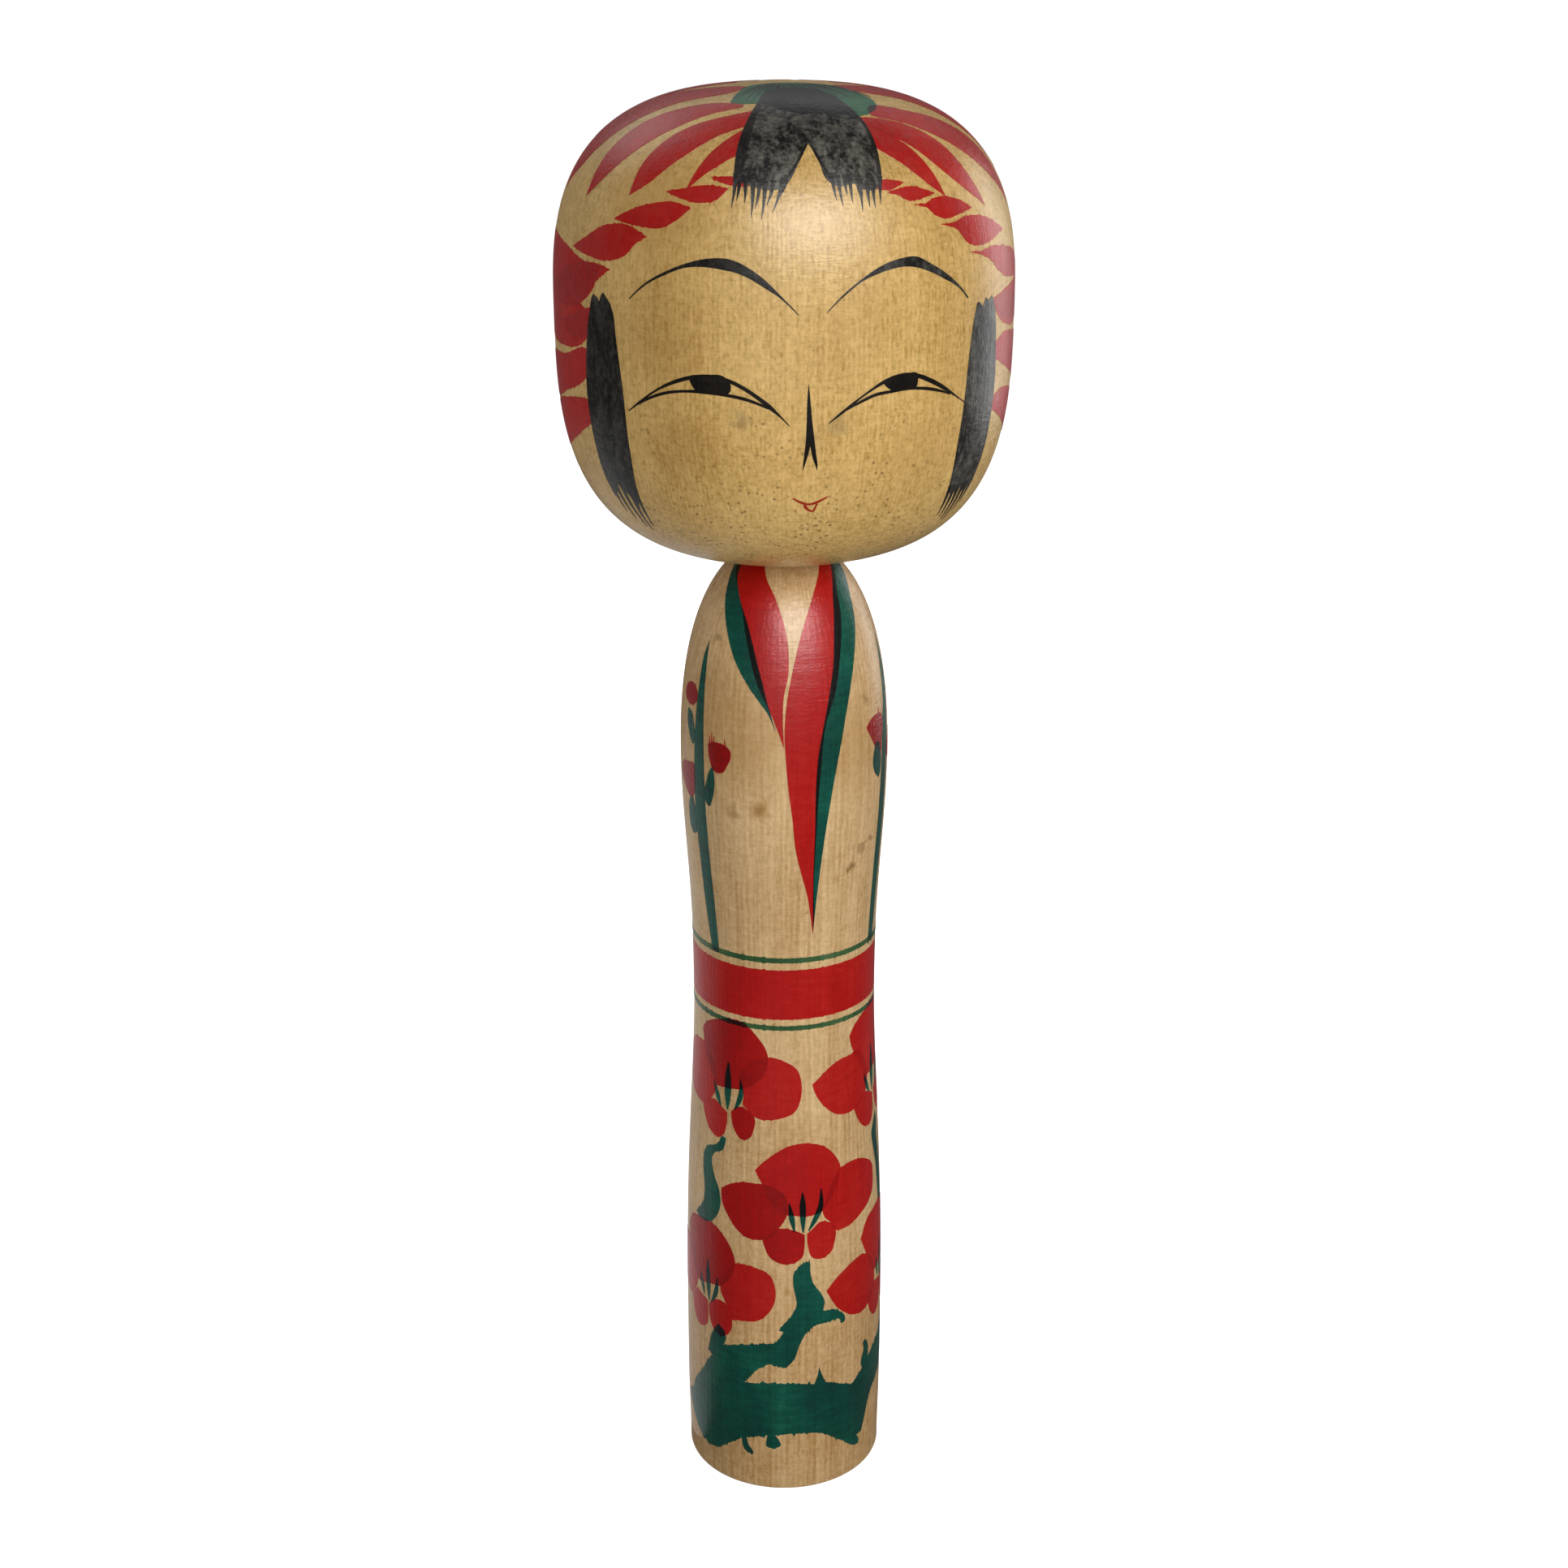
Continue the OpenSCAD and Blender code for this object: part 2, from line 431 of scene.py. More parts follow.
def plum_left(paint):
    """A shoot of plum with buds and leaves, left of the collar."""
    name = "plum_left"
    bud(paint, name, [
        (-45.7, 175.2, C), (-41.9, 175.9), (-37.8, 176), (-33, 175.7), (-30, 174.7), (-29.9, 173.5),
        (-32.3, 171.5), (-35, 170), (-38.2, 169.6), (-41.9, 170.2), (-44.2, 172)])
    for a, high in ((-44.2, 177.2), (-42.6, 178), (-41, 177.2), (-33.5, 177.3)):
        paint.line(name, "red", [(a, 175, 0.45), (a - 0.3, high, 0.1)], coat="bud hairs")
    bud(paint, name, [
        (-73, 184.2), (-69, 186), (-62, 186.3), (-57.2, 184.8), (-57.5, 183), (-62, 182), (-69, 182.2)])
    bud(paint, name, [
        (-56.9, 169.8, C), (-65.7, 169.4), (-74, 168.5), (-78, 166), (-74, 164.5), (-68.5, 162.8),
        (-63, 161.9), (-59, 163), (-56.9, 165.5)])
    green = dict(motif=name, dye="green", coat="left plum")
    paint.area(points=[
        (-53.5, 195.9, C), (-55.5, 193), (-56.2, 188), (-57.3, 178), (-58.2, 160), (-56.5, 148),
        (-54.8, 140.5), (-52.4, 134.5), (-49.6, 128.7, C), (-43.6, 128.7, C), (-44.6, 134), (-46.9, 145.5),
        (-48.5, 160.5), (-49.4, 175.5), (-50.7, 185), (-51.7, 190.5)], bleed=0.7, **green)
    paint.area(points=[
        (-48.7, 163), (-46.6, 167.5), (-44.6, 169.5), (-41.9, 170.8, C), (-40.8, 168), (-42.8, 163.5),
        (-45.3, 161.8)], **green)
    paint.area(points=[
        (-66.4, 180.8), (-62.3, 180.5), (-59.6, 178.8), (-57.6, 176), (-59.2, 173.9), (-62.3, 174.8),
        (-65, 176.5), (-67.1, 178.8)], **green)
    paint.area(points=[
        (-62, 162.3), (-58, 159), (-57.6, 155), (-62.3, 154), (-65.7, 155), (-66.8, 157.5), (-65, 161.2)],
        **green)


def plum_right(paint):
    """A shoot of plum with buds and a leaf, right of the collar."""
    name = "plum_right"
    bud(paint, name, [
        (51.4, 178.1, C), (56.2, 179.4), (64.4, 179.9), (68.5, 179.4), (70.2, 178), (68.2, 174),
        (67.1, 171.5), (61, 172.8), (54.8, 176)])
    paint.line(name, "red", [(65, 179, 0.5), (65, 181.2, 0.1)])
    green = dict(motif=name, dye="green", coat="right plum")
    paint.area(points=[
        (58.9, 172.8), (57.5, 170.8), (57.8, 169), (60.3, 167.3), (64.4, 166, C), (66.4, 167.5),
        (66.6, 171.4), (64.4, 173.6), (61, 174.2)], **green)
    paint.area(points=[
        (79.5, 195, C), (77, 191), (75.2, 188), (73.2, 181.5), (70.5, 178), (68.5, 170), (67.4, 163),
        (66.8, 155.5), (66, 148), (65.7, 140.5), (64.4, 128.5, C), (71, 128.5, C), (73.5, 136), (75.5, 150),
        (76.5, 163), (78.3, 176), (81.5, 188)], bleed=0.7, **green)
    paint.area(name, "red", [
        (78, 171, C), (82, 173.6), (88, 174.4), (94, 173.6), (96, 171.4), (92, 169), (86, 168.2),
        (80, 168.8)])


# The petals and stamens of the flower under the sash, and of the flower low on the left
HIGH_FLOWER = dict(
    top=[(-62, 109.1, C), (-57.6, 111), (-50.8, 112.4), (-44, 113.3), (-36, 114.2), (-26, 114),
         (-17.4, 111.6), (-9.8, 106.7), (-12, 103), (-22, 99.5), (-28.6, 98.5, C), (-37, 98),
         (-46.3, 97.7, C), (-56, 103.5), (-60.5, 107)],
    left=[(-46, 97), (-50, 94.2, C), (-59.5, 91.8), (-67, 92), (-75, 93), (-81, 95.5), (-84, 99.5),
          (-82, 103), (-76, 105), (-66, 105.9), (-56, 105.8), (-48, 102)],
    right=[(-25.8, 103.8), (-17.8, 106.1), (-9.8, 106.9), (0, 106.1), (7.9, 104.1), (10.9, 99.9), (9.9, 97),
           (7.1, 94.6), (-3.4, 92.8), (-17.8, 92.8), (-25.8, 95.2, C), (-25.4, 97.9), (-28.5, 100.5)],
    low_left=[(-50.3, 93.9), (-46.7, 94.1), (-41.9, 93.3), (-36.6, 92.3, C), (-36.9, 89.5), (-39.5, 86.7),
              (-43, 85.8), (-50.7, 86.6), (-57.2, 89.9), (-59.2, 91.6, C)],
    low_right=[(-33.8, 92.9, C), (-29, 94.4), (-23.4, 94.2), (-17.8, 92.3), (-18.6, 89.6), (-20.2, 88),
               (-25.8, 87), (-31.4, 89), (-33.2, 91)],
    stamens=[[(-36.6, 93, 0.3), (-36.6, 96, 1.5), (-36.6, 100, 1.7), (-36.6, 104, 0.4)],
             [(-41.9, 93.3, 0.3), (-44.5, 95.3, 1.2), (-48.2, 98.5, 0.3)],
             [(-31.4, 93.5, 0.3), (-29, 95.2, 1), (-27, 97.9, 1.1), (-27.6, 100.7, 0.3)]],
)
LOW_FLOWER = dict(
    top=[(-76, 59, C), (-68.3, 63), (-60.3, 63.9), (-51.3, 64.5), (-43, 64), (-35.9, 62), (-29.4, 56.7),
         (-31, 53.8), (-39.9, 49.7, C), (-46.7, 49.3), (-53.5, 48.6), (-61.5, 48, C), (-70, 54)],
    left=[(-61.5, 48), (-62.6, 46, C), (-69.4, 42.6), (-80, 43), (-93, 46), (-97, 50), (-95, 54), (-85, 56),
          (-70, 56), (-63, 52)],
    right=[(-34.2, 55), (-29.4, 56.7), (-19.4, 57), (-13.8, 56.5), (-8.6, 55.5), (-5.1, 52.3), (-6.5, 47.5),
           (-10.3, 45.3), (-14.9, 43.8), (-27.4, 42.8), (-31.4, 42.4), (-32.5, 44.7, C), (-35.3, 45.9),
           (-39.9, 49.9), (-37.6, 52.6)],
    low_left=[(-62, 45.5, C), (-56.9, 45), (-50.5, 44.3, C), (-50.3, 41.7), (-51.5, 38.2), (-59.2, 36.7),
              (-63.8, 37.8), (-68.9, 42.2, C)],
    low_right=[(-49.5, 43.8, C), (-45.6, 45.3), (-41, 46.1), (-35.9, 45.8), (-32.5, 44.7), (-31.5, 42.2),
               (-32.8, 39.2), (-39.9, 37), (-45.6, 38.2), (-49, 41)],
    stamens=[[(-53.8, 45.5, 0.3), (-55.8, 48.2, 1.2), (-57.5, 50.9, 0.3)],
             [(-49.3, 44.7, 0.3), (-49.8, 48, 1.3), (-50.1, 51.5, 1.4), (-50.3, 55, 0.3)],
             [(-47.3, 44.5, 0.3), (-43.9, 47.2, 1.2), (-41.8, 51.7, 0.3)]],
)


def flower(paint, motif, petals, turn=0.0, rise=0.0, heavy=()):
    """A flower of five petals, each its own wet coat of red, with green stamens over them.

    The heavy petals have had a second coat.
    """
    for part in ("left", "right", "low_left", "low_right", "top", *heavy):
        paint.area(motif, "red", moved(petals[part], turn, rise))
    for line in petals["stamens"]:
        paint.line(motif, "green", moved(line, turn, rise), coat=motif + " stamens")


def flowers(paint):
    flower(paint, "flower_high_left", HIGH_FLOWER, heavy=("top", "low_right"))
    right = dict(HIGH_FLOWER)
    right["left"] = moved([
        (17.4, 100.2, C), (24.5, 102.3), (29.3, 103.5), (34.9, 104.4), (45.3, 104.8), (52, 105.1),
        (59, 102.6), (64, 97.9), (61, 95.6), (60.6, 94.4, C), (53, 92.6), (48.1, 91.8), (34.9, 92.1),
        (24.5, 95.1), (19.8, 97.8)], -107)
    flower(paint, "flower_high_right", right, turn=107)
    flower(paint, "flower_low_left", LOW_FLOWER, heavy=("top",))
    low = dict(LOW_FLOWER)
    low["left"] = moved([
        (25.2, 50.3, C), (30, 52.2), (35.7, 53.8), (41.4, 54.9), (52.7, 55.7), (62, 53), (67, 47.5),
        (63, 43.5), (54.4, 41.4), (44.8, 41.8), (37.9, 43.4), (32.3, 45.5), (28, 48.2)], -127, -0.8)
    flower(paint, "flower_low_right", low, turn=127, rise=0.8)
    flower(paint, "flower_middle", dict(
        left=[(-39.8, 74, C), (-35.7, 75.2), (-30.3, 76.3), (-17.5, 77.2), (-5.7, 76.7), (0, 75.2),
              (2, 72.5), (1.5, 70), (-3, 67), (-7.5, 65), (-15, 63.8), (-23.9, 64.2), (-28.9, 65.5),
              (-33.9, 67.7), (-39, 71)],
        right=[(35.2, 79.5, C), (47, 79.8), (57, 78.5), (65.2, 76), (66.3, 73.5), (64.3, 69.3),
               (59.7, 67.7), (52.5, 66.3), (39.7, 64.7), (32, 64.7), (27.5, 67.3, C), (24.3, 68.7),
               (22.9, 70.4), (25.2, 73), (30, 77)],
        low_left=[(-3, 67, C), (1.5, 66.8), (7, 66.2), (12, 65.2, C), (11.8, 62), (10.6, 59.8), (7, 58.7),
                  (0.6, 58.2), (-8, 59.8), (-12.5, 63.7, C)],
        low_right=[(13.4, 65.3, C), (16.5, 66.3), (21.5, 67.7), (27, 67.2), (31.5, 64.6), (30.8, 62.4),
                   (28, 59.8), (21, 58.8), (17.2, 59.2), (13.8, 62.5)],
        top=[(-17.3, 80.4, C), (-13, 82.2), (-7.5, 84), (-1.2, 85.7), (11.5, 86.9), (24.3, 85.5),
             (32.5, 82.2), (35.2, 80), (33, 76), (23.4, 70.3, C), (15.2, 69.6), (1.5, 70.3, C), (-8, 73),
             (-12.5, 77)],
        stamens=[[(6.1, 66, 0.3), (4.4, 69.5, 1.2), (2.9, 73, 0.3)],
                 [(11.1, 65.7, 0.3), (11, 69, 1.2), (10.9, 72.5, 1.3), (10.8, 75.4, 0.3)],
                 [(14.3, 66, 0.3), (17.9, 68.3, 1.1), (21.5, 71.3, 1.3), (22.2, 75.7, 0.3)]],
    ), heavy=("left", "low_left"))


def branches(paint):
    """The two branches between the flowers."""
    paint.area("branches", "green", [
        (-39.9, 86.3), (-37, 86.1, C), (-37.6, 84.9), (-39.9, 83), (-44.2, 82.2), (-47.3, 81.1),
        (-48.1, 79.3), (-46.7, 77.2), (-41, 72.6), (-40.2, 70.1), (-41.6, 68), (-50.7, 64.2), (-56.9, 63.9),
        (-63.5, 64.5, C), (-55.2, 68.8), (-54.4, 71.3), (-56.4, 78), (-55.8, 80.5), (-52.4, 82.4),
        (-46.7, 83.4), (-42.7, 84.5)], coat="wood", bleed=0.8)
    paint.area("branches", "green", [
        (74.3, 87, C), (70, 85), (66.4, 83), (66.9, 81.8), (71.5, 75.5), (74.9, 67.2), (76, 65),
        (82, 65.5), (81.5, 69), (78.5, 76), (75.5, 82), (76.5, 85)], coat="wood", bleed=0.8)


def trunk(paint):
    """The old trunk across the foot, brushed half dry, with its stubs."""
    paint.area("trunk", "green", [
        (-24, 27.1, C), (-10.4, 27.8), (3.3, 28), (17.9, 27.3, C), (19.3, 28.6), (20.9, 31.3, C),
        (22.6, 29.2), (24.9, 27.1, C), (37.4, 25), (43.1, 23.8, C), (53.4, 26.3, C), (51.8, 27.5),
        (54.5, 31.3),
        (53.9, 32.9), (56.2, 33.1), (58.5, 31.9), (59.3, 28.1, C), (68.1, 30), (76, 31.3), (84, 33.5),
        (92, 36, C), (88, 27), (82, 23), (70.4, 20), (64.2, 18.8), (60.2, 16.7), (56.8, 13.3), (53.4, 9.6, C),
        (48.8, 9.4, C), (50.9, 7.3), (49.4, 7.1), (37.4, 10), (23.8, 13.8), (9, 15), (-5.2, 14.6, C),
        (-2.2, 11.7), (-5.2, 11.2), (-9.8, 11.3), (-9.8, 14.4, C), (-16, 13.8), (-22.6, 12.9, C),
        (-21.2, 10.8), (-18.5, 9.1), (-21.2, 9), (-24.6, 10.2), (-25.7, 12.5, C), (-34.2, 10),
        (-46.8, 6.9), (-51.3, 6.9), (-65, 9), (-74, 12.9), (-79, 15), (-74, 16.2), (-70, 17.5),
        (-67.2, 20), (-55.9, 25.8), (-51.3, 28.8), (-46.2, 31.3, C), (-50.7, 31.7, C), (-46.8, 36.7),
        (-44.7, 38.3), (-41.1, 39.6), (-38.2, 39.2), (-36, 37.5), (-37.7, 35, C), (-26.3, 36.5),
        (-5.8, 38.3, C), (-3.3, 39.2), (-0.3, 41.3, C), (-3, 41.7, C), (-0.1, 43.3), (4.4, 45.4), (7.3, 48.3),
        (6.5, 50.4), (5.2, 54), (5.6, 55.8), (8.4, 57.3), (11.3, 58.2), (14.7, 58.2), (15.2, 56.2),
        (17, 53), (22.1, 49.8), (24, 47.9), (23, 45.6, C), (30.6, 45), (38, 42.1), (38, 41.5),
        (34.8, 41.2), (34.6, 41.9), (22.6, 42.5), (18.1, 42.3), (14.7, 41.5), (9, 37.9), (5.6, 34.2),
        (0.5, 32.3), (-8.1, 33), (-12.1, 32.3)], coat="wood", bleed=1.1)


# ---- Painted motifs of the head: points are (degrees from the middle of the face, height) ----


def brows(paint):
    paint.line("brow_left", "ink", [
        (-45.2, 267.35, 0.2), (-40, 270.5, 0.4), (-35, 272.5, 0.55), (-30, 274, 0.7), (-27, 274.5, 1.1),
        (-22.4, 274.7, 1.8), (-20, 274.55, 2.05), (-17.8, 274.2, 1.9), (-15, 273.3, 1.6), (-10, 270.8, 1.0),
        (-7.9, 269.5, 0.5), (-3.2, 265.95, 0.15)], worn=0.15)
    paint.line("brow_right", "ink", [
        (3.25, 266.2, 0.15), (7.7, 269.5, 0.35), (12.3, 272, 0.5), (15, 273, 0.9), (18.4, 273.9, 1.3),
        (22.2, 274.4, 1.55), (25, 274.4, 1.85), (30, 273, 1.4), (35, 271, 1.0), (36.8, 270.2, 0.7),
        (40, 268.4, 0.4), (42.3, 266.7, 0.3)], worn=0.5)


def eyes(paint):
    paint.line("eye_left", "ink", [
        (-46.4, 246.8, 0.2), (-43.1, 248.6, 0.4), (-37.7, 251.4, 0.4), (-32.4, 253.35, 0.7),
        (-27, 254.5, 0.7), (-22.4, 254.6, 0.7), (-18.2, 253.7, 0.7), (-13.2, 251.5, 0.7),
        (-10, 249.6, 0.8), (-7.1, 247.55, 0.3), (-5.2, 246, 0.15)], coat="left eye")
    paint.line("eye_left", "ink", [
        (-43.1, 248.4, 0.3), (-40, 249.7, 0.5), (-35, 251.1, 0.55), (-30, 251.7, 0.5), (-25, 251.8, 0.7),
        (-20, 251.45, 0.6), (-15, 250.7, 0.6), (-10, 249.2, 0.4)], coat="left eye")
    paint.area("eye_left", "ink", [
        (-28.9, 254), (-25, 254.8), (-19.6, 254.2), (-18.8, 253.2), (-18.9, 252.2), (-19.8, 251.5, C),
        (-25.5, 251.7, C), (-28, 252.5)], coat="left eye", bleed=0)
    paint.line("eye_right", "ink", [
        (4.1, 246.4, 0.2), (7.7, 248.6, 0.5), (12.3, 251.2, 0.35), (18.4, 253.7, 0.7), (23, 254.4, 0.6),
        (26.8, 253.8, 0.8), (30, 252.8, 0.85), (35, 250.8, 0.7), (38.3, 249.3, 0.35), (44.7, 246.3, 0.15)],
        coat="right eye")
    paint.line("eye_right", "ink", [
        (7.7, 248.5, 0.3), (12.3, 250.3, 0.55), (15, 251.1, 0.6), (19.1, 251.5, 0.55), (25, 251.7, 0.5),
        (30, 251.2, 0.6), (36.8, 249.6, 0.3)], coat="right eye")
    paint.area("eye_right", "ink", [
        (17.3, 253), (20, 254.3), (23, 254.5), (26.5, 253.8), (26.4, 252.6), (26, 251.6, C), (19.9, 251.5, C),
        (18, 252.4)], coat="right eye", bleed=0)


def nose_and_mouth(paint):
    paint.area("nose", "ink", [
        (-0.8, 253.8, C), (-1.1, 251), (-1.2, 247), (-1.4, 243), (-1.95, 238.25), (-2, 237.4, C),
        (-1.35, 239), (-0.5, 241.4), (-0.3, 242.3, C), (0.3, 240.1), (1.25, 238.1), (1.5, 237.5, C),
        (1.55, 238.5), (1.1, 241), (0, 247.5), (-0.5, 251.5)], bleed=0)
    paint.line("mouth", "lip", [
        (-4.3, 232.05, 0.25), (-2.3, 231.25, 0.5), (0, 230.8, 0.45), (2.1, 231.25, 0.5), (4.6, 232.2, 0.3)],
        coat="mouth")
    paint.line("mouth", "lip", [
        (-1.3, 230.9, 0.4), (-1, 230.3, 0.6), (-0.3, 229.7, 0.45), (0.55, 229.4, 0.4), (1.3, 229.55, 0.4),
        (1.6, 230.1, 0.35), (1.95, 230.9, 0.35)], coat="mouth", step=0.2)


def hair_tips(paint, motif, worn, top, tips):
    """Tapered hairs that run down from one height: (degrees at the top, degrees at the tip, its height)."""
    for high, low, tip in tips:
        middle = ((high * 1.4 + low) / 2.4, (top * 1.3 + tip) / 2.3)
        paint.line(motif, "ink", [(high, top, 1.2), (*middle, 0.78), (low, tip, 0.12)],
                   coat=motif, worn=worn, step=0.3)


def sideburns(paint):
    """The locks in front of the ears, with loose hairs at their ends."""
    paint.area("sideburn_left", "ink", [
        (-59.5, 264.3), (-58.1, 267), (-56.9, 266.9), (-55.6, 266, C), (-54.3, 267.6), (-52.6, 266.8),
        (-50.9, 265), (-49.8, 260), (-49.1, 256.4), (-48, 250), (-47.7, 242.1), (-47.7, 237.1),
        (-48.2, 232.8), (-48.7, 229.4, C), (-49.6, 228.6), (-50.6, 226.2, C), (-52.2, 229.2),
        (-54, 230.6, C), (-56.3, 231.6, C), (-57.8, 229.6), (-59.6, 228.4, C), (-60.9, 232.3),
        (-61.6, 238.6), (-62.3, 247.9), (-61, 259.3)], coat="sideburn_left", bleed=0.3, worn=0.3)
    hair_tips(paint, "sideburn_left", 0.1, 231.6, [
        (-49.2, -48.6, 223.4), (-51.8, -50.4, 222.4), (-54.6, -52.2, 222.9), (-57, -55.2, 224.2),
        (-59.2, -57.8, 225.4)])
    paint.area("sideburn_right", "ink", [
        (45.3, 263.9), (46.4, 265.6), (47.6, 265.3), (48.6, 264.6, C), (50.2, 266), (51.2, 265.4, C),
        (53, 266), (55.1, 263.2), (56, 257.5), (56.7, 250), (56.4, 244), (55.9, 235), (55.2, 230.6, C),
        (53.6, 229.4),
        (52.4, 230.8), (50.6, 228.8), (49.2, 230.4), (47.4, 228.4), (46, 230), (43.2, 228.2, C),
        (41.9, 236.2), (41.7, 240), (42.2, 246.4), (43, 254.3), (44.3, 260.7)],
        coat="sideburn_right", bleed=0.3, worn=0.65)
    hair_tips(paint, "sideburn_right", 0.2, 231, [
        (43.4, 44, 224.8), (45.4, 46.1, 224.1), (47.6, 48.3, 223.3), (49.8, 50.3, 222.9),
        (52.2, 52.2, 224.6), (54.4, 53.8, 226.2)])


def side_strokes(paint):
    """Red leaves that sweep back round the head behind each sideburn."""
    strokes = [
        [(-56.4, 261.4, C), (-60, 263.6), (-66, 265.4), (-80, 268), (-100, 268), (-118, 262, C),
         (-104, 258), (-90, 256.6), (-76, 256), (-64, 257.4)],
        [(-56, 255, C), (-62, 256.8), (-72, 254.8), (-90, 253.4), (-112, 250, C), (-100, 246),
         (-86, 245), (-75, 247.4), (-64, 250.4)],
        [(-56, 246.4, C), (-62.3, 247.2), (-72, 246.4), (-88, 243.8), (-106, 238, C), (-94, 234.6),
         (-80, 236.6), (-67, 240.7), (-60, 243.6)],
        [(-55.4, 272.4, C), (-62, 272.8), (-74, 275), (-92, 276.4), (-114, 274, C), (-100, 269.4),
         (-84, 268.6), (-70, 266.4), (-62.1, 265.8), (-58, 268.4)],
        [(53.3, 265.2, C), (57.5, 266), (64, 266.8), (78, 267.6), (98, 266), (116, 260, C), (100, 257),
         (86, 258.4), (72, 260.4), (62.7, 260.8), (56, 263.2)],
        [(52, 255.6, C), (61.3, 258.4), (72, 257.6), (90, 255), (110, 249, C), (96, 246), (82, 247),
         (68.7, 250.5), (58, 253.6)],
        [(52, 245.4, C), (61.3, 247.7), (70, 247), (86, 243.6), (104, 237, C), (92, 234.4), (78, 237),
         (65, 241.6), (57, 244.2)],
    ]
    for points in strokes:
        paint.area("side_strokes", "red", points, bleed=0.3)


def hairline(paint):
    """Red leaves along the hairline: points are (right, forward) of the crown's pole."""
    leaves = [
        [(-19, 39.4, C), (-15.2, 40.7), (-10, 43.6), (-14.2, 43), (-17.4, 41)],
        [(-28.5, 37.1, C), (-25.2, 38.6), (-20.2, 40.5), (-16, 42.8, C), (-18.8, 43.9), (-22, 43.2),
         (-25.6, 40.6)],
        [(-41.5, 32.1, C), (-33.8, 36.2), (-27, 40.5), (-24.5, 43, C), (-28, 43.4), (-32, 42.6),
         (-36.5, 38.9), (-39.5, 35.3)],
        [(-54.7, 21.2, C), (-51.3, 24.9), (-43.8, 31.2), (-39.3, 36), (-36, 41.7, C), (-39.3, 40.6),
         (-42.5, 40.2), (-46.5, 37.6), (-51.1, 31.2), (-53.5, 25.6)],
        [(-68, 2, C), (-64.8, 10), (-59.3, 19.8), (-53.8, 28.5), (-48.3, 38.1, C), (-54.3, 34.6),
         (-60.2, 31.6), (-65.4, 24), (-68.6, 12)],
        [(11.5, 43.4, C), (14.8, 41.8), (17.2, 41.1), (19.6, 40.6, C), (16.9, 43.1), (14.9, 43.8)],
        [(16.2, 43.9, C), (19.5, 41.7), (21.7, 40.5), (24.4, 39.8), (27, 39.1, C), (25.2, 40.9),
         (23.1, 42.6), (20.8, 43.7), (19.2, 43.6)],
        [(22.6, 43.8, C), (25.3, 42.2), (26.8, 40.4), (30.1, 37.9), (33.7, 36), (37.6, 34.5, C),
         (35.5, 37.3), (32.8, 40.5), (30, 42.6), (27.8, 43.1), (26.1, 42.9)],
        [(29.8, 44, C), (33.2, 41.6), (35.3, 38.9), (38.9, 35.1), (44.3, 30.4), (49.5, 26.3, C),
         (47.5, 31.5), (44.3, 37.2), (40.7, 40.7), (37.5, 41.9), (35.2, 41.8)],
        [(40.6, 42.5, C), (44.2, 39), (46.9, 35.1), (52.2, 27.9), (57.7, 19.1), (66, 8, C),
         (64.6, 15), (61.7, 21.9), (57.5, 29.8), (53.6, 33.9), (48.4, 36.9), (44.6, 39.6)],
        [(71, 14, C), (66, 20.6), (60.3, 30.7), (55.5, 40.3, C), (59, 39.4), (66, 33), (70.4, 24)],
        [(-71.4, 16, C), (-67.6, 24), (-62, 31.8), (-56.6, 38.6, C), (-62, 37.6), (-67.6, 33.4), (-71, 25)],
    ]
    for points in leaves:
        paint.area("hairline_leaves", "red", points, angles=False, worn=0.08)


